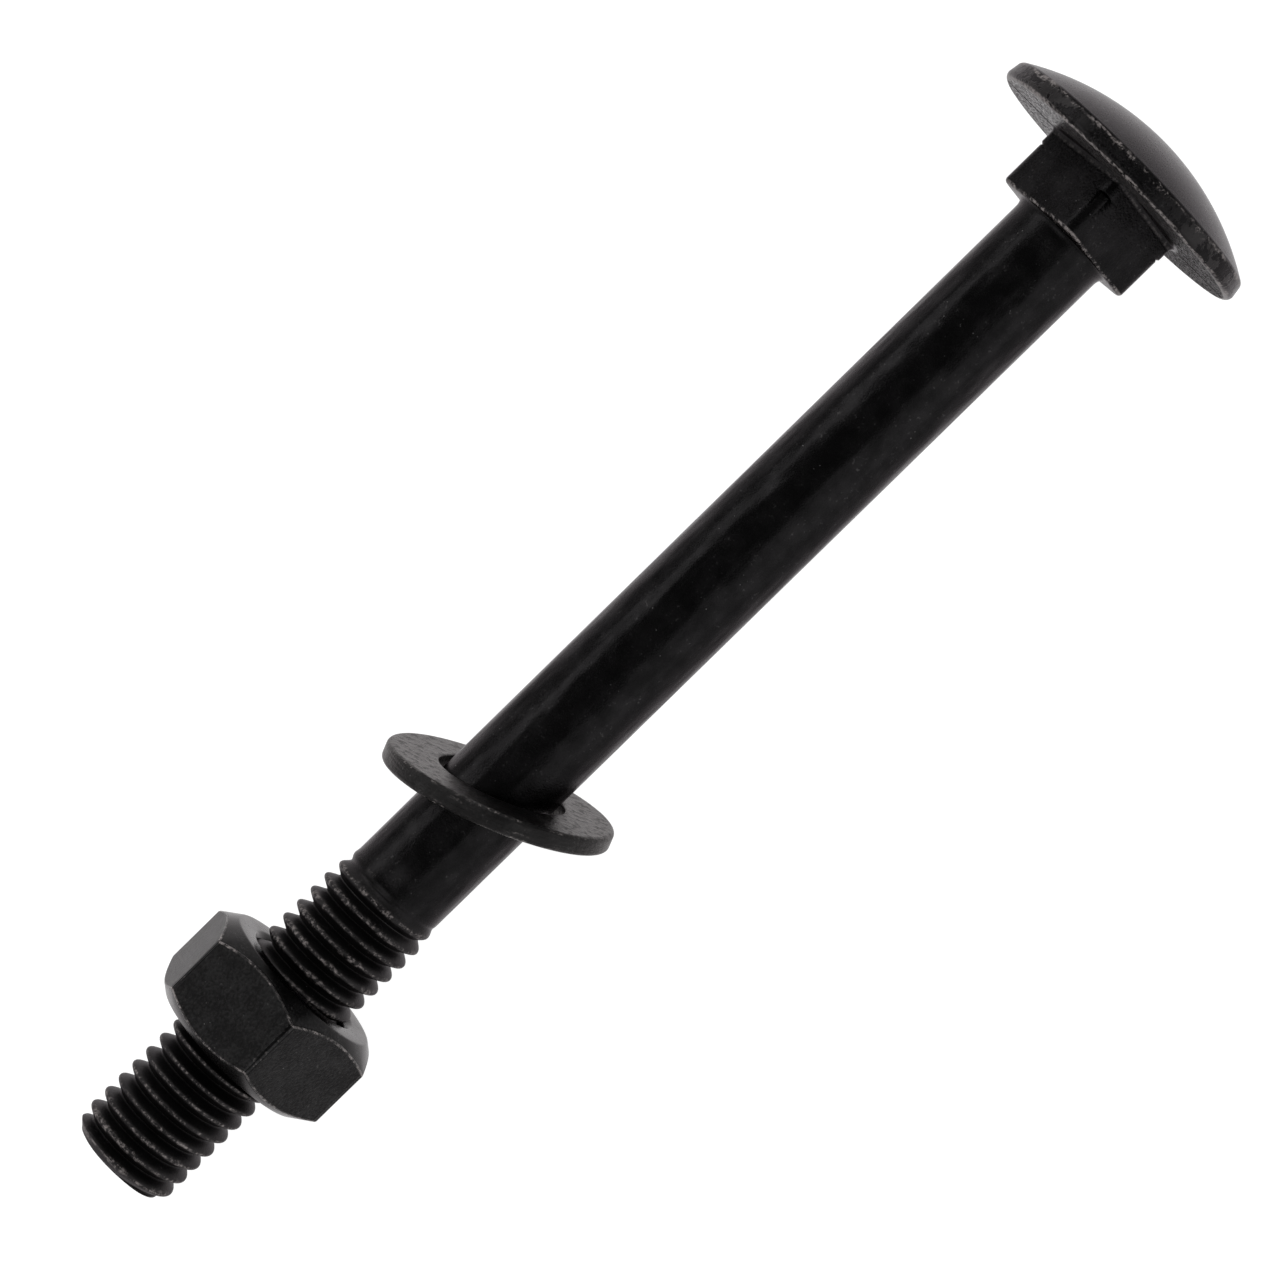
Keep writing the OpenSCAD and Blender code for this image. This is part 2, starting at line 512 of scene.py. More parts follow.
@dataclass(frozen=True)
class BlackSteel:
    """Blackened steel: dark satin metal with grain, dust and worn edges."""

    name: str
    base: tuple[float, float, float] = (0.0098, 0.0094, 0.0097)
    edge_tint: tuple[float, float, float] = (0.745, 0.72, 0.73)
    roughness: float = 0.28
    fine: Noise = (0.14, 3.0, 0.6)
    fine_rough: float = 0.12
    grain_depth: float = 0.4
    grain_tone: float = 0.35
    blotch: Noise = (1.6, 4.0, 0.6)
    blotch_rough: float = 0.1
    tones: tuple[float, float] = (0.75, 1.3)
    worn: tuple[float, float, float] = (0.19, 0.17, 0.165)
    worn_roughness: float = 0.5
    worn_dull: float = 0.7
    pale: tuple[float, float, float] = (0.05, 0.047, 0.047)
    pale_rough: float = 0.12
    dust: tuple[float, float, float] = (0.12, 0.115, 0.115)
    dust_dull: float = 2.0
    speck_spacing: float = 0.55
    speck_drift: float = 2.4
    speck_share: float = 0.5
    smear: Noise = (0.28, 3.0, 0.7)
    smear_share: float = 0.16

    def build(self, frame: Matrix, marks_of: Callable[[Tree, Place], Marks]) -> bpy.types.Material:
        """Makes the material.

        Args:
            frame: Matrix from the piece's frame to the scene.
            marks_of: Makes the piece's marks from the tree and the position.

        Returns:
            The material.
        """
        material = bpy.data.materials.new(self.name)
        material.use_nodes = True
        tree = Tree(material.node_tree)
        place = tree.place(frame)
        blotch = place.noise(*self.blotch)
        fine = place.noise(*self.fine)
        marks = marks_of(tree, place)
        dust = self._dust(place, blotch)
        tone = blotch.step(0.3, 0.75) + (fine - 0.5) * (2 * self.grain_tone)
        colour = tree.mix(tone, *(self._tone(share) for share in self.tones))
        for share, layer in ((marks.pale, self.pale), (dust, self.dust), (marks.worn, self.worn)):
            colour = tree.mix(share, colour, (*layer, 1.0))
        dull = (marks.worn * self.worn_dull).above(dust * self.dust_dull).below(1.0)
        rough = self.roughness + (blotch - 0.5) * self.blotch_rough + (fine - 0.5) * self.fine_rough
        rough = rough + marks.pale * self.pale_rough + marks.rough
        rough = rough + marks.worn * (self.worn_roughness - self.roughness)
        height = fine * self.grain_depth + marks.relief
        relief = tree.add("ShaderNodeBump", {}, {"Strength": 1.0, "Distance": RELIEF, "Height": height})
        shader = tree.add(
            "ShaderNodeBsdfPrincipled",
            {},
            {
                "Base Color": colour,
                "Metallic": 1.0 - dull,
                "Roughness": rough,
                "Specular Tint": (*self.edge_tint, 1.0),
                "Normal": relief.outputs[0],
            },
        )
        tree.finish(shader)
        return material

    def _dust(self, place: Place, blotch: Value) -> Value:
        """Makes the dust: light specks in drifts, and faint smears.

        Args:
            place: Position on the piece.
            blotch: The finish's broad noise.

        Returns:
            The share of dust.
        """
        drift = place.noise(self.speck_drift).step(0.5, 0.7)
        specks = place.specks(self.speck_spacing).step(0.1, 0.05) * drift
        smears = place.noise(*self.smear).step(0.6, 0.72) * blotch.step(0.45, 0.62)
        return (specks * self.speck_share).above(smears * self.smear_share)

    def _tone(self, share: float) -> tuple[float, float, float, float]:
        """Returns the base colour made lighter or darker."""
        return (*(channel * share for channel in self.base), 1.0)


# Pieces


@dataclass
class Thread:
    """Rolled thread with rounded crests; heights run up from the tip, in millimetres.

    The half profile runs from a root to the crest as shares of the pitch and of the depth.
    """

    crest_radius: float = 3.93
    depth: float = 0.8
    pitch: float = 1.25
    length: float = 25.5
    fade_turns: float = 1.8
    tip_radius: float = 3.3
    turn: float = 175.0
    start_turns: float = 1.1
    turns: int = 22
    steps: int = 96
    soft: float = 0.05
    half_profile: tuple[tuple[float, float], ...] = (
        (0.0, 0.04), (0.04, 0.07), (0.09, 0.18), (0.18, 0.43), (0.28, 0.7),
        (0.35, 0.865), (0.4, 0.945), (0.45, 0.988),
    )

    def _stations(self) -> list[tuple[Station, float]]:
        """Returns the points of one pitch, each with its distance from the crest."""
        half = list(self.half_profile)
        shape = half + [(0.5, 1.0)] + [(1 - at, share) for at, share in reversed(half)]
        root = self.crest_radius - self.depth
        return [
            (
                Station(root + self.depth * share, self.pitch * (at - self.start_turns)),
                abs(at - 0.5) * self.pitch,
            )
            for at, share in shape
        ]

    def build(
        self, mesh: bmesh.types.BMesh, shank_radius: float, tip_at: float, end_at: float
    ) -> None:
        """Adds the thread as one screw surface, cut flat at the tip.

        Args:
            mesh: Mesh that takes the thread.
            shank_radius: Radius into which the thread runs out.
            tip_at: Height of the tip in the bolt's frame.
            end_at: Height above the tip at which the surface ends.
        """
        profile = self._stations()
        mesh.verts.layers.float.new(OFF_CREST)
        geometry = add_profile(mesh, [station for station, _ in profile], self.turn)
        off_crest = mesh.verts.layers.float[OFF_CREST]
        for vert, (_, distance) in zip(geometry, profile):
            vert[off_crest] = distance
        rise = (0, 0, self.pitch / self.steps)
        bmesh.ops.spin(
            mesh, geom=geometry, cent=(0, 0, 0), axis=(0, 0, 1), dvec=rise,
            angle=math.tau, steps=self.steps, use_merge=False, use_duplicate=False,
        )
        first_turn = [*mesh.verts, *mesh.edges, *mesh.faces]
        for turn in range(1, self.turns):
            copy = bmesh.ops.duplicate(mesh, geom=first_turn)
            verts = [item for item in copy["geom"] if isinstance(item, bmesh.types.BMVert)]
            bmesh.ops.translate(mesh, verts=verts, vec=(0, 0, turn * self.pitch))
        bmesh.ops.remove_doubles(mesh, verts=mesh.verts, dist=MERGE)
        for vert in mesh.verts:
            self._shape(vert, shank_radius)
        self._cut(mesh, 0.0, -1.0)
        edges = [edge for edge in mesh.edges if edge.is_boundary]
        rim = [edge for edge in edges if edge.verts[0].co.z < self.pitch / 4]
        bmesh.ops.contextual_create(mesh, geom=rim)
        self._cut(mesh, end_at, 1.0)
        bmesh.ops.translate(mesh, verts=mesh.verts, vec=(0, 0, tip_at))

    def _shape(self, vert: bmesh.types.BMVert, shank_radius: float) -> None:
        """Fades a point into the shank and draws it under the chamfer of the tip."""
        x, y, z = vert.co
        radius = math.hypot(x, y)
        fade = min(1.0, max(0.0, (self.length - z) / (self.fade_turns * self.pitch)))
        wanted = shank_radius + (radius - shank_radius) * fade
        chamfer = self.tip_radius + max(z, 0.0)
        gap = wanted - chamfer
        wanted -= (gap + math.sqrt(gap * gap + self.soft * self.soft)) / 2
        vert.co.x, vert.co.y = x * wanted / radius, y * wanted / radius

    def _cut(self, mesh: bmesh.types.BMesh, height: float, side: float) -> None:
        """Cuts the surface at a height and clears what lies past it."""
        geometry = [*mesh.verts, *mesh.edges, *mesh.faces]
        bmesh.ops.bisect_plane(
            mesh, geom=geometry, dist=MERGE / 4, plane_co=(0, 0, height), plane_no=(0, 0, side),
            clear_outer=True,
        )
        bmesh.ops.remove_doubles(mesh, verts=mesh.verts, dist=MERGE)


@dataclass(frozen=True)
class Spot:
    """Point of the bolt's surface in its shader, in millimetres.

    Gritty and patchy are the noises that break up its wear, and threaded is 1 on the thread.
    """

    x: Value
    y: Value
    z: Value
    radius: Value
    head_z: Value
    head_radius: Value
    gritty: Value
    patchy: Value
    threaded: Value


@dataclass
class CarriageBolt:
    """Domed head, square neck, shank and thread of one piece, in millimetres."""

    frame: Matrix
    length: float = 89.5
    nut_from_tip: float = 10.2
    shank_radius: float = 3.525
    shank_ring: float = 2.0
    fillet_length: float = 0.6
    fillet_depth: float = 0.3
    fillet_steps: int = 8
    neck_half: float = 3.95
    neck_length: float = 4.6
    neck_corner: float = 0.85
    neck_turn: float = 17.5
    neck_edge: float = 0.28
    neck_steps: int = 5
    flare: float = 0.3
    flare_length: float = 0.45
    flare_steps: int = 6
    pad_corner: float = 0.65
    pad_length: float = 1.3
    pad_end: float = 0.14
    notch_corner: float = 1.05
    notch_length: float = 0.1
    head_radius: float = 10.1
    head_height: float = 4.2
    dome_gap: float = 0.1
    dome_steps: int = 26
    rim_edge: float = 0.45
    rim_height: float = 1.3
    rim_draw: float = 0.1
    rim_round: float = 0.45
    rim_ring: tuple[float, float] = (0.008, 0.06)
    rim_steps: tuple[int, int] = (8, 14)
    seat_ring: float = 0.1
    seat_share: float = 1.5
    head_skew: float = 2.15
    skew_to: float = 194.0
    head_shift: float = 0.15
    shift_to: float = 287.6
    segments: int = 192
    crowding: float = 0.6
    crease: float = 32.0
    thread_past: float = 0.1
    join_gap: float = 0.3
    thread: Thread = field(default_factory=Thread)
    finish: BlackSteel = BlackSteel("bolt_black")

    def build(self) -> bpy.types.Object:
        """Builds the bolt as one closed skin.

        Returns:
            The piece.
        """
        mesh = bmesh.new()
        tip_at = -self.length
        end_at = self.thread.length + self.thread_past
        self.thread.build(mesh, self.shank_radius, tip_at, end_at)
        body = bmesh.new()
        body.verts.layers.float.new(OFF_CREST)
        profile = self._profile(tip_at + end_at + self.join_gap)
        spin(body, add_profile(body, profile, self.neck_turn), self.segments)
        self._square_neck(body)
        self._skew_head(body)
        far = body.verts.layers.float[OFF_CREST]
        for vert in body.verts:
            vert[far] = self.thread.pitch
        part = bpy.data.meshes.new("bolt_body")
        body.to_mesh(part)
        body.free()
        mesh.from_mesh(part)
        bpy.data.meshes.remove(part)
        bmesh.ops.bridge_loops(mesh, edges=[edge for edge in mesh.edges if edge.is_boundary])
        piece = make_piece("bolt", mesh, self.frame, self.crease)
        seat(piece, "carriage_bolt", Body.BOLT, self.finish.build(self.frame, self._marks))
        return piece

    def _profile(self, shank_end: float) -> list[Station]:
        """Returns the profile from the top of the dome down to the end of the shank."""
        dome_at = self.head_radius - self.rim_draw
        rise = self.head_height - self.rim_height
        dome = (dome_at**2 + rise**2) / (2 * rise)
        first = math.degrees(math.acos(dome_at / dome))
        cut = self.rim_round * math.tan(math.radians(first / 2))
        last = first + math.degrees(cut / dome) + self.dome_gap
        seat_at = self.head_radius - self.rim_edge
        round_at = dome_at - self.rim_round
        upper_steps, lower_steps = self.rim_steps
        inward, upward = self.rim_ring
        neck_low = -self.neck_length
        fillet = hollow(
            self.shank_radius, neck_low, self.fillet_depth, self.fillet_length, self.fillet_steps
        )
        return [
            *arc((0, self.head_height - dome), dome, 90, last, self.dome_steps),
            *arc((round_at, self.rim_height - cut), self.rim_round, first, 0, upper_steps),
            Station(self.head_radius - inward, self.rim_edge + upward),
            *arc((seat_at, self.rim_edge), self.rim_edge, 0, -90, lower_steps),
            Station(seat_at - self.seat_ring, 0),
            Station(self.neck_half * self.seat_share, 0),
            *self._neck(neck_low),
            *fillet,
            Station(self.shank_radius, neck_low - self.shank_ring),
            Station(self.shank_radius, shank_end),
        ]

    def _neck(self, low: float) -> list[Station]:
        """Returns the square rings from the flare under the head down to the end of the neck."""
        flare = hollow(self.neck_half, 0.0, self.flare, self.flare_length, self.flare_steps)
        edge_at = low + self.neck_edge
        edge = arc((self.neck_half - self.neck_edge, edge_at), self.neck_edge, 0, -90, self.neck_steps)
        return [
            *(self._square(station.radius, station.height, self.pad_corner) for station in flare),
            self._square(self.neck_half, -self.pad_length + self.pad_end, self.pad_corner),
            self._square(self.neck_half, -self.pad_length, self.notch_corner),
            self._square(self.neck_half, -self.pad_length - self.notch_length, self.neck_corner),
            self._square(self.neck_half, edge_at + self.notch_length, self.neck_corner),
            *(self._square(station.radius, station.height, self.neck_corner) for station in edge),
        ]

    def _square(self, half: float, height: float, corner: float) -> Station:
        """Returns a square ring; the corner is its radius where the ring is as wide as the neck."""
        return Station(half, height, Ring.SQUARE, corner + half - self.neck_half)

    def _square_neck(self, mesh: bmesh.types.BMesh) -> None:
        """Moves the neck's rings onto a square with round corners."""
        rings = mesh.verts.layers.int[RING]
        corners = mesh.verts.layers.float[CORNER]
        for vert in (v for v in mesh.verts if v[rings] == Ring.SQUARE.value):
            half = math.hypot(vert.co.x, vert.co.y)
            angle = math.atan2(vert.co.y, vert.co.x)
            turned, off = crowd(angle, 4, math.radians(self.neck_turn), self.crowding)
            radius = rounded(off, half, vert[corners], 4)
            vert.co.x, vert.co.y = radius * math.cos(turned), radius * math.sin(turned)

    def _skew_head(self, mesh: bmesh.types.BMesh) -> None:
        """Leans and shifts the head a little on its neck, as the forging dies left it."""
        rings = mesh.verts.layers.int[RING]
        head = [v for v in mesh.verts if v.co.z > -MERGE and v[rings] == Ring.ROUND.value]
        across = Matrix.Rotation(math.radians(self.skew_to + 90), 3, "Z") @ Vector((1, 0, 0))
        lean = Matrix.Rotation(math.radians(self.head_skew), 3, across)
        bmesh.ops.rotate(mesh, verts=head, cent=(0, 0, 0), matrix=lean)
        bmesh.ops.translate(mesh, verts=head, vec=self._shift())

    def _shift(self) -> Vector:
        """Returns the head's shift off the bolt's axis."""
        angle = math.radians(self.shift_to)
        return Vector((math.cos(angle), math.sin(angle), 0)) * self.head_shift

    def _marks(self, tree: Tree, place: Place) -> Marks:
        """Makes the marks of the bolt: worn crests and edges, a chipped rim with a painted reflection at
        its ends, a painted highlight along the flare, grain and waves.
        """
        spot = self._spot(place)
        edges = self._worn_thread(tree, spot).above(self._worn_rim(place, spot))
        edges = edges.above(self._worn_neck(spot))
        # The flare's faint light line is a painted highlight, laid over the real worn edges.
        worn = (edges * spot.patchy.step(0.25, 0.48)).above(self._painted_flare_highlight(spot))
        under_pale, under_relief, under_rough = self._underside(place, spot)
        # The band's paleness is real chips plus a painted reflection at its two ends.
        band_chips_and_sheen, band_relief = self._rim_band(place, spot)
        pale = band_chips_and_sheen.above(under_pale).above(spot.threaded * 0.22)
        relief = self._waves(place, spot) + under_relief + band_relief
        return Marks(worn, pale, relief, under_rough + spot.threaded * 0.14)

    def _spot(self, place: Place) -> Spot:
        """Measures a point from the bolt's axis and from that of the leaning head."""
        x, y, z = place.parts()
        shift = self._shift()
        lean = math.tan(math.radians(self.head_skew))
        return Spot(
            x, y, z,
            radius=(x * x + y * y) ** 0.5,
            head_z=z + along(x, y, self.skew_to) * lean,
            head_radius=((x - shift.x) ** 2.0 + (y - shift.y) ** 2.0) ** 0.5,
            gritty=place.noise(*GRIT),
            patchy=place.noise(2.2, 3.0, 0.6),
            threaded=z.step(-64.0, -65.5),
        )

    def _worn_thread(self, tree: Tree, spot: Spot) -> Value:
        """Returns the worn crests, broader near the tip and behind the nut."""
        off_crest = tree.attribute(OFF_CREST)
        tip = spot.z.step(-82.5, -88.0)
        behind_nut = spot.z.step(-75.0, -70.0) * spot.threaded
        crest = off_crest.step(0.12, 0.03) * spot.z.step(-63.8, -65.0)
        broad = off_crest.step(0.3, 0.1) * tip.above(behind_nut) * spot.patchy.step(0.46, 0.58)
        thin = crest * (spot.gritty + tip * 0.03).step(0.47, 0.67)
        return thin.above(broad * spot.gritty.step(0.46, 0.6) * 0.8)

    def _worn_rim(self, place: Place, spot: Spot) -> Value:
        """Returns the gritty lines along both edges of the rim, and grit below the upper one."""
        wall = spot.head_radius.step(9.5, 9.7)
        wobble = (place.noise(1.1) - 0.5) * 0.5
        width = place.noise(3.0).step(0.4, 0.7) * 0.16 + 0.08
        off_lower = (spot.head_z - 0.05 - wobble * 0.15).size()
        off_upper = (spot.head_z - self.rim_height + 0.08 - wobble).size()
        broken = place.noise(3.4).step(0.4, 0.56)
        upper = (off_upper / width).step(1.0, 0.4) * broken
        lines = (off_lower / width).step(1.0, 0.4).above(upper) * wall
        sprinkled = spot.head_z.step(0.75, 1.25) * spot.head_z.step(1.35, 1.3)
        sprinkled = sprinkled * spot.head_radius.step(9.6, 9.8) * 0.7
        grit = spot.gritty.step(0.55, 0.62) * spot.patchy.step(0.42, 0.56)
        return (lines * spot.gritty.step(0.41, 0.6)).above(sprinkled * grit)

    def _worn_neck(self, spot: Spot) -> Value:
        """Returns the worn edge at the end of the neck, most at its corners."""
        end = spot.z.line(-self.neck_length + 0.1, 0.16)
        corners = spot.radius.step(4.4, 5.2) * 0.12
        return end * spot.radius.step(3.7, 3.9) * (spot.gritty + corners).step(0.46, 0.66)

    def _painted_flare_highlight(self, spot: Spot) -> Value:
        """Returns the faint painted highlight along the flare under the head, broken up by grit."""
        line = spot.z.line(-self.flare_length * 0.6, 0.16)
        grit = spot.gritty.step(0.4, 0.7) * 0.18
        return line * spot.radius.step(3.9, 4.0) * grit

    def _rim_band(self, place: Place, spot: Spot) -> tuple[Value, Value]:
        """Returns the paleness and the relief of the chipped band round the head: real pale chips, made
        stronger at the band's two side-on ends as a painted reflection.
        """
        chips = place.noise(1.5, 4.0, 0.65)
        band = spot.head_z.step(0.08, 0.2) * spot.head_z.step(1.3, 1.2)
        band = band * spot.head_radius.step(9.4, 9.6)
        # Painted reflection: the pale chips grow far stronger at the two ends of the band that turn
        # side-on to the camera, where grazing reflections fall.
        ends = along(spot.x, spot.y, self.shift_to).size().step(2.5, 8.5)
        pale = band * chips.step(0.53, 0.47) * (0.04 + ends * 0.42)
        return pale, band * chips.step(0.47, 0.53) * -0.6

    def _underside(self, place: Place, spot: Spot) -> tuple[Value, Value, Value]:
        """Returns the paleness, the relief and the added roughness of the head's pitted underside."""
        under = spot.head_z.line(0.0, 0.05) * spot.head_radius.step(5.4, 5.9)
        under = under * spot.head_radius.step(9.75, 9.6)
        pitted = under * place.noise(0.22, 4.0, 0.8).step(0.48, 0.58)
        seam = along(spot.x, spot.y, self.neck_turn).line(0.0, 0.35)
        side = along(spot.x, spot.y, self.shift_to).step(-3.0, 3.0)
        pale = (under * place.noise(0.16, 3.0, 0.8)).step(0.52, 0.6)
        relief = pitted * -2.0 - under * seam * 4.0
        rough = under * (side * 0.2 - 0.08 + seam * 0.3)
        return pale, relief, rough + pitted * (0.4 + side * 0.12)

    def _waves(self, place: Place, spot: Spot) -> Value:
        """Returns the relief of the shank's long waves and of the neck's fine leather."""
        shank = spot.z.step(-5.0, -7.0) * spot.z.step(-64.0, -62.0)
        neck = spot.z.step(-0.2, -0.5) * spot.z.step(-4.6, -4.4)
        waves = place.stretched(1.0, 1.0, 0.35).noise(2.4) * 7.0
        return shank * waves + neck * place.noise(0.2) * 0.7


@dataclass
class HexNut:
    """Hexagon nut with both sides chamfered, in millimetres from its outer face."""

    frame: Matrix
    width: float = 12.9
    height: float = 6.7
    face_share: float = 0.9
    slope: float = 37.0
    bore: float = 4.0
    sink: float = 0.35
    blank: float = 0.3
    blank_slant: float = 0.2
    edge: float = 0.1
    edge_steps: int = 3
    edge_over: float = 20.0
    corner: float = 0.28
    crowding: float = 0.9
    segments: int = 240
    crease: float = 40.0
    finish: BlackSteel = BlackSteel(
        "nut_black", base=(0.015, 0.0147, 0.0148), edge_tint=(0.87, 0.85, 0.855), roughness=0.38,
        fine=(0.2, 3.0, 0.6), grain_depth=2.6, grain_tone=1.8,
    )

    def build(self) -> bpy.types.Object:
        """Builds the nut from a turned blank whose wall is drawn onto a hexagon.

        Returns:
            The piece.
        """
        mesh = bmesh.new()
        face = self.face_share * self.width / 2
        wall = face + self.blank
        high = self.height
        mouth = self.bore + self.sink
        profile = [
            Station(self.bore, high / 2),
            Station(self.bore, self.sink),
            Station(mouth, 0),
            Station(face, 0),
            Station(wall, self.blank_slant, Ring.WALL_LOW),
            Station(wall, high / 2, Ring.WALL),
            Station(wall, high - self.blank_slant, Ring.WALL_HIGH),
            Station(face, high),
            Station(mouth, high),
            Station(self.bore, high - self.sink),
        ]
        spin(mesh, add_profile(mesh, profile, 0.0, closed=True), self.segments)
        self._draw_hexagon(mesh, face)
        least = math.radians(self.edge_over)
        sharp = [edge for edge in mesh.edges if edge.calc_face_angle(0.0) > least]
        bmesh.ops.bevel(
            mesh, geom=sharp, offset=self.edge, offset_type="OFFSET", segments=self.edge_steps,
            profile=0.5, affect="EDGES", material=-1, clamp_overlap=False,
        )
        piece = make_piece("nut", mesh, self.frame, self.crease)
        weights = piece.modifiers.new("even_flats", "WEIGHTED_NORMAL")
        weights.keep_sharp = True
        seat(piece, "hex_nut", Body.NUT, self.finish.build(self.frame, self._marks))
        return piece

    def _draw_hexagon(self, mesh: bmesh.types.BMesh, face: float) -> None:
        """Moves the wall onto the hexagon and its ends onto the chamfer cones."""
        rings = mesh.verts.layers.int[RING]
        slope = math.tan(math.radians(self.slope))
        for vert in mesh.verts:
            ring = Ring(vert[rings])
            angle = math.atan2(vert.co.y, vert.co.x)
            turned, off = crowd(angle, 6, math.radians(30), self.crowding)
            radius = math.hypot(vert.co.x, vert.co.y)
            if ring is not Ring.ROUND:
                radius = rounded(off, self.width / 2, self.corner, 6)
            vert.co.x, vert.co.y = radius * math.cos(turned), radius * math.sin(turned)
            drop = (radius - face) * slope
            if ring is Ring.WALL_LOW:
                vert.co.z = drop
            elif ring is Ring.WALL_HIGH:
                vert.co.z = self.height - drop

    def _marks(self, tree: Tree, place: Place) -> Marks:
        """Makes the marks of the nut: worn arcs where the chamfers meet the flats, and grain."""
        x, y, z = place.parts()
        radius = (x * x + y * y) ** 0.5
        apothem = x.size()
        for turn in (60, 120):
            apothem = apothem.above(along(x, y, turn).size())
        from_end = (z - self.height / 2).size() * -1.0 + self.height / 2
        drop = (radius - self.face_share * self.width / 2) * math.tan(math.radians(self.slope))
        wall = (self.width / 2 - apothem).step(0.13, 0.05)
        edge = (from_end - drop).size().step(0.12, 0.04) * wall
        ridge = radius.step(7.31, 7.36) * wall
        satin = wall.step(0.5, 0.0)
        gritty = place.noise(*GRIT)
        corner = radius.step(6.9, 7.3) * 0.1
        arcs = edge * (gritty + corner).step(0.46, 0.64)
        arcs = arcs * (place.noise(1.8, 3.0, 0.6) + corner).step(0.42, 0.58)
        worn = arcs.above(ridge * gritty.step(0.6, 0.7) * 0.3)
        relief = satin.above(ridge) * place.noise(*self.finish.fine) * -2.6
        rough = ridge.above(edge) * -0.24 - satin * 0.12
        return Marks(worn, edge * 0.3, relief, rough)


@dataclass
class FlatWasher:
    """Punched flat washer standing on its rim against the shank, in millimetres."""

    lean: float = 15.34
    yaw: float = 19.57
    radius: float = 7.9
    hole: float = 4.4
    thickness: float = 1.3
    outer_edge: float = 0.3
    outer_ring: float = 0.12
    outer_steps: int = 7
    inner_edge: float = 0.1
    inner_ring: float = 0.25
    inner_steps: int = 3
    segments: int = 192
    crease: float = 40.0
    finish: BlackSteel = BlackSteel(
        "washer_black", base=(0.016, 0.0155, 0.0155), edge_tint=(0.94, 0.91, 0.91), roughness=0.34,
        fine=(0.26, 3.0, 0.6), grain_depth=0.8,
    )

    def frame(self) -> Matrix:
        """Returns the matrix from the washer's own frame to the scene."""
        lean = Matrix.Rotation(math.radians(-self.lean), 4, "Y")
        turn = Matrix.Rotation(math.radians(self.yaw), 4, "Z") @ lean
        upright = Matrix.Rotation(math.radians(90), 4, "Y")
        low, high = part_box("flat_washer")
        centre = (Vector(low) + Vector(high)) / 2
        return Matrix.Translation(centre) @ turn @ upright @ Matrix.Scale(MM, 4)

    def build(self) -> bpy.types.Object:
        """Builds the washer.

        Returns:
            The piece.
        """
        mesh = bmesh.new()
        profile = [*self._side(1), *self._side(-1)[::-1]]
        spin(mesh, add_profile(mesh, profile, 0.0, closed=True), self.segments)
        piece = make_piece("washer", mesh, self.frame(), self.crease)
        seat(piece, "flat_washer", Body.WASHER, self.finish.build(self.frame(), self._marks))
        return piece

    def _side(self, side: int) -> list[Station]:
        """Returns the profile of the face on one side, 1 or -1, from its outer edge to the hole."""
        half = self.thickness / 2
        outer_at = self.radius - self.outer_edge
        inner_at = self.hole + self.inner_edge
        outer_height = side * (half - self.outer_edge)
        inner_height = side * (half - self.inner_edge)
        return [
            *arc((outer_at, outer_height), self.outer_edge, 0, side * 90, self.outer_steps),
            Station(outer_at - self.outer_ring, side * half),
            Station(self.hole + self.inner_ring, side * half),
            *arc((inner_at, inner_height), self.inner_edge, side * 90, side * 180, self.inner_steps),
        ]

    def _marks(self, tree: Tree, place: Place) -> Marks:
        """Makes the marks of the washer: worn edges, a sheared wall and a scratched face."""
        x, y, z = place.parts()
        radius = (x * x + y * y) ** 0.5
        wall = radius.step(7.7, 7.8)
        face = 1.0 - wall
        sheared = place.stretched(0.14, 0.14, 1.0).noise(0.2, 3.0, 0.6)
        scratched = place.stretched(1.0, 0.15, 1.0).noise(0.16, 3.0, 0.7)
        mottled = place.noise(0.7, 4.0, 0.7)
        edge = z.size().line(self.thickness / 2 - 0.09, 0.08) * radius.step(7.6, 7.75)
        worn = edge.above(wall * sheared.step(0.62, 0.68) * 0.4)
        grit = place.noise(*GRIT).step(0.48, 0.64)
        patches = place.noise(1.8, 3.0, 0.6).step(0.45, 0.6)
        pale = wall * sheared.step(0.5, 0.7) * 0.1
        relief = wall * sheared * 2.5 + face * (scratched * 0.5 + mottled * 1.6)
        rough = mottled.step(0.5, 0.6) * 0.14 + scratched.step(0.55, 0.7) * 0.05
        return Marks(worn * grit * patches, pale, relief, face * rough + wall * 0.06)


# Studio


@dataclass(frozen=True)
class Lamp:
    """Soft rectangular lamp that faces the object, in metres."""

    name: str
    azimuth: float
    elevation: float
    distance: float
    width: float
    height: float
    brightness: float

    def build(self) -> None:
        """Places the lamp; its brightness is that of its face."""
        data = bpy.data.lights.new(self.name, "AREA")
        data.shape = "RECTANGLE"
        data.size, data.size_y = self.width, self.height
        data.energy = self.brightness * math.pi * self.width * self.height
        lamp = bpy.data.objects.new(self.name, data)
        turn, rise = math.radians(self.azimuth), math.radians(self.elevation)
        level = math.cos(rise)
        back = Vector((math.cos(turn) * level, math.sin(turn) * level, math.sin(rise)))
        lamp.location = back * self.distance
        lamp.rotation_mode = "QUATERNION"
        lamp.rotation_quaternion = back.to_track_quat("Z", "Y")
        bpy.context.scene.collection.objects.link(lamp)


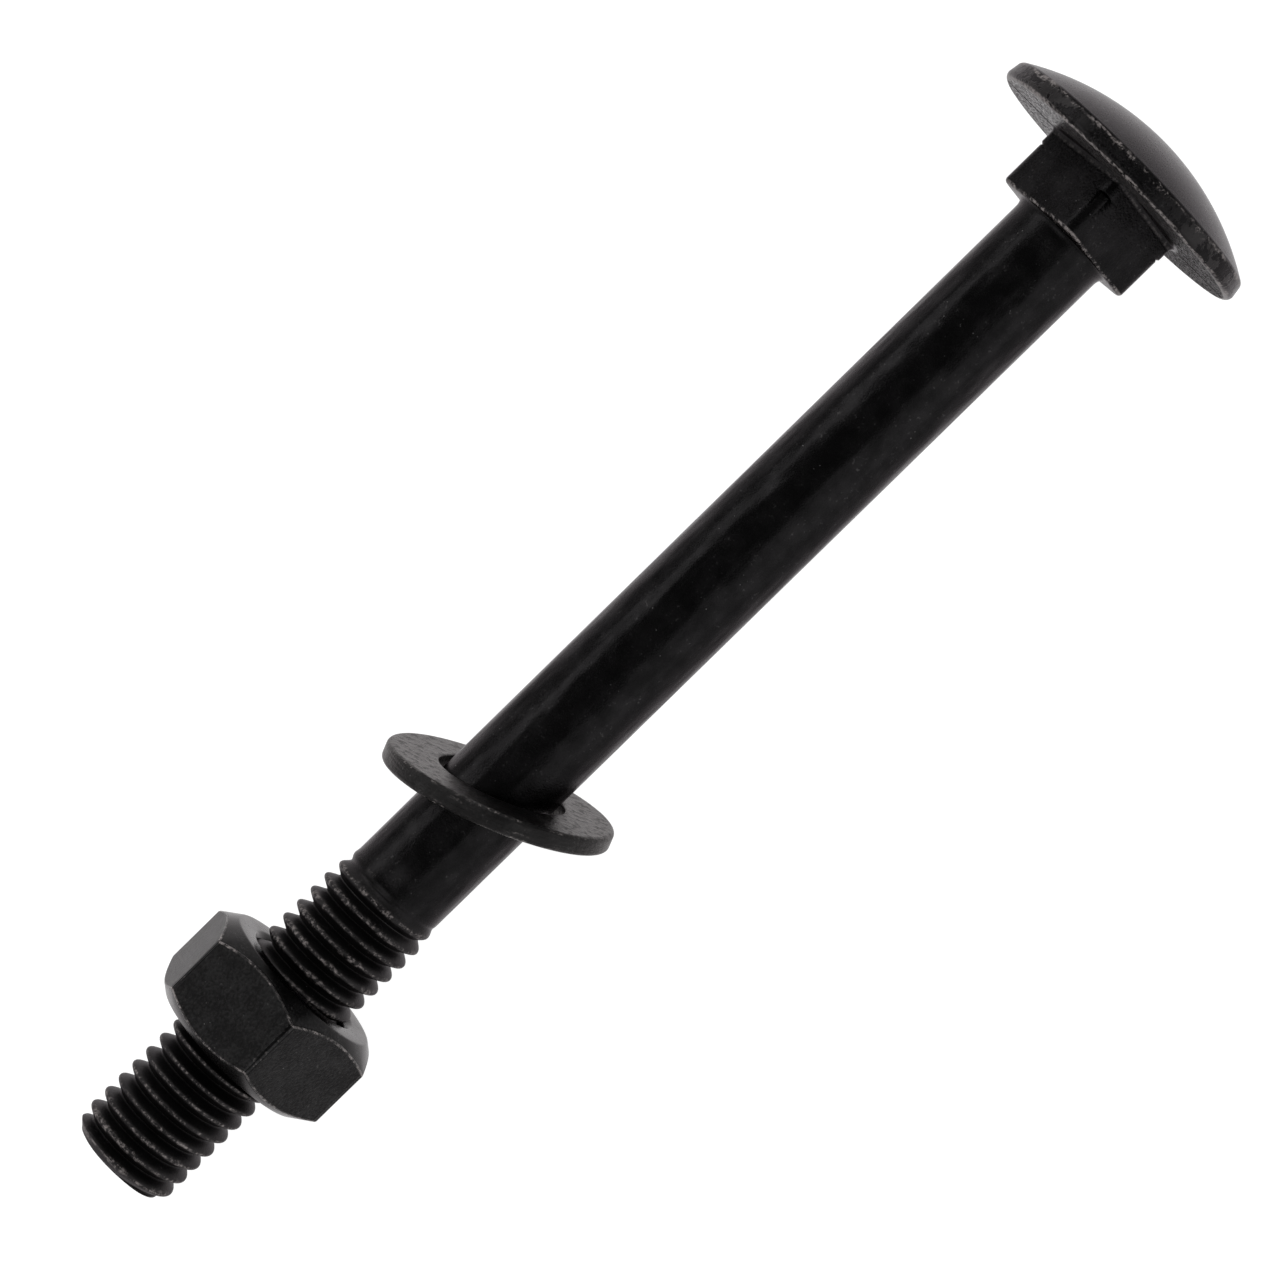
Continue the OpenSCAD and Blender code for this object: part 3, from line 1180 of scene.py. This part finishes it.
@dataclass
class Studio:
    """Pale floor, soft lamps and a quiet world."""

    floor_size: float = 6.0
    floor_colour: float = 0.9
    shadow_colour: float = 0.2
    floor_glow: float = 0.95
    world_light: float = 0.26
    wall_light: float = 1.0
    wall_top: float = 0.17
    wall_fade: float = 0.05
    lamps: tuple[Lamp, ...] = (
        Lamp("rear_softbox", 90, 40, 0.7, 1.3, 0.28, 2.5),
        Lamp("front_fill", -90, 24, 0.9, 1.6, 0.8, 1.0),
        Lamp("head_side", 0, 50, 0.8, 0.5, 0.5, 1.6),
        Lamp("tip_side", 180, 50, 0.8, 0.5, 0.5, 1.6),
    )

    def build(self) -> None:
        """Makes the floor, the lamps and the world."""
        mesh = bmesh.new()
        bmesh.ops.create_grid(mesh, x_segments=1, y_segments=1, size=self.floor_size / 2)
        data = bpy.data.meshes.new("floor")
        mesh.to_mesh(data)
        mesh.free()
        floor = bpy.data.objects.new("floor", data)
        bpy.context.scene.collection.objects.link(floor)
        data.materials.append(self._floor_material())
        for lamp in self.lamps:
            lamp.build()
        self._world()

    def _floor_material(self) -> bpy.types.Material:
        """Returns a pale floor that looks white and keeps a faint shadow of the object."""
        material = bpy.data.materials.new("pale_floor")
        material.use_nodes = True
        tree = Tree(material.node_tree)
        pale = tree.add("ShaderNodeBsdfDiffuse", {}, {"Color": grey(self.floor_colour)})
        shade = tree.add("ShaderNodeBsdfDiffuse", {}, {"Color": grey(self.shadow_colour)})
        glow = tree.add("ShaderNodeEmission", {}, {"Color": grey(1.0), "Strength": self.floor_glow})
        white = tree.add("ShaderNodeAddShader", {}, {0: shade.outputs[0], 1: glow.outputs[0]})
        shaders = {0: self._seen(tree), 1: pale.outputs[0], 2: white.outputs[0]}
        tree.finish(tree.add("ShaderNodeMixShader", {}, shaders))
        return material

    def _world(self) -> None:
        """Makes a world of white walls near the horizon and a quiet grey light above them."""
        world = bpy.data.worlds.new("studio")
        bpy.context.scene.world = world
        world.use_nodes = True
        tree = Tree(world.node_tree)
        direction = tree.add("ShaderNodeTexCoord", {}, {})
        parts = tree.add("ShaderNodeSeparateXYZ", {}, {0: direction.outputs["Generated"]})
        walls = Value(tree, parts.outputs[2]).step(self.wall_top + self.wall_fade, self.wall_top)
        quiet, white = (
            tree.add("ShaderNodeBackground", {}, {"Color": grey(1.0), "Strength": strength}).outputs[0]
            for strength in (self.world_light, self.wall_light)
        )
        mixed = tree.add("ShaderNodeMixShader", {}, {0: walls, 1: quiet, 2: white})
        tree.add("ShaderNodeOutputWorld", {}, {"Surface": mixed.outputs[0]})

    def _seen(self, tree: Tree) -> Value:
        """Returns 1 for rays that show the background: camera, glossy and transmission."""
        path = tree.add("ShaderNodeLightPath", {}, {})
        names = ("Is Camera Ray", "Is Glossy Ray", "Is Transmission Ray")
        camera, glossy, through = (Value(tree, path.outputs[name]) for name in names)
        return camera.above(glossy).above(through)


@dataclass
class Viewpoint:
    """Camera of the photograph, set from the bolt's axis."""

    head: Vector
    axis: Vector
    middle_from_head: float = 41.2
    distance: float = 229.007
    tilt: float = 3.001
    roll: float = 17.6
    turn: float = 44.356
    side_shift: float = 0.4065
    ahead_shift: float = 0.4743
    focal_pixels: float = 3568.4
    sensor: float = 36.0
    clip_start: float = 0.01

    def build(self) -> None:
        """Places the camera."""
        tilt, roll, turn = (math.radians(v) for v in (self.tilt, self.roll, self.turn))
        across = Vector((0, 1, 0))
        lifted = self.axis.cross(across) * math.cos(roll) - across * math.sin(roll)
        back = self.axis * math.sin(tilt) + lifted * math.cos(tilt)
        ahead = (self.axis - back * math.sin(tilt)) / math.cos(tilt)
        aside = ahead.cross(back)
        right = ahead * math.cos(turn) + aside * math.sin(turn)
        up = ahead * math.sin(turn) - aside * math.cos(turn)
        middle = self.head - self.axis * self.middle_from_head * MM
        shift = aside * self.side_shift + ahead * self.ahead_shift
        place = middle + (back * self.distance - shift) * MM
        data = bpy.data.cameras.new("camera")
        data.sensor_width = self.sensor
        data.lens = self.sensor * self.focal_pixels / PHOTO_SIDE
        data.clip_start = self.clip_start
        camera = bpy.data.objects.new("camera", data)
        facing = Matrix((right, up, back)).transposed().to_4x4()
        camera.matrix_world = Matrix.Translation(place) @ facing
        bpy.context.scene.collection.objects.link(camera)
        bpy.context.scene.camera = camera


def bolt_frame(record: dict, joints: list[dict]) -> tuple[Matrix, Vector, Vector]:
    """Reads the bolt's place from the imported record.

    Args:
        record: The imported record.
        joints: Its joints; the nut travels along the bolt's axis.

    Returns:
        Matrix from the bolt's frame in millimetres to the scene, the middle of the head's
        underside and the axis towards the head.
    """
    head = Vector(next(m["pos_m"] for m in record["mounts"] if m["name"] == "head_seat"))
    axis = Vector(next(j["axis"] for j in joints if j["name"] == "nut_travel")).normalized()
    turn = Matrix.Rotation(math.atan2(axis.x, axis.z), 4, "Y")
    return Matrix.Translation(head) @ turn @ Matrix.Scale(MM, 4), head, axis


def main() -> None:
    """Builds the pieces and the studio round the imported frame."""
    logging.basicConfig(level=logging.INFO, format="%(message)s")
    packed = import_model()
    bpy.context.scene.view_settings.view_transform = "Standard"
    frame, head, axis = bolt_frame(packed["record"], packed["joints"])
    bolt = CarriageBolt(frame)
    bolt.build()
    nut_face = Matrix.Translation((0, 0, bolt.nut_from_tip - bolt.length))
    HexNut(frame @ nut_face).build()
    FlatWasher().build()
    Studio().build()
    Viewpoint(head, axis).build()


if __name__ == "__main__":
    main()
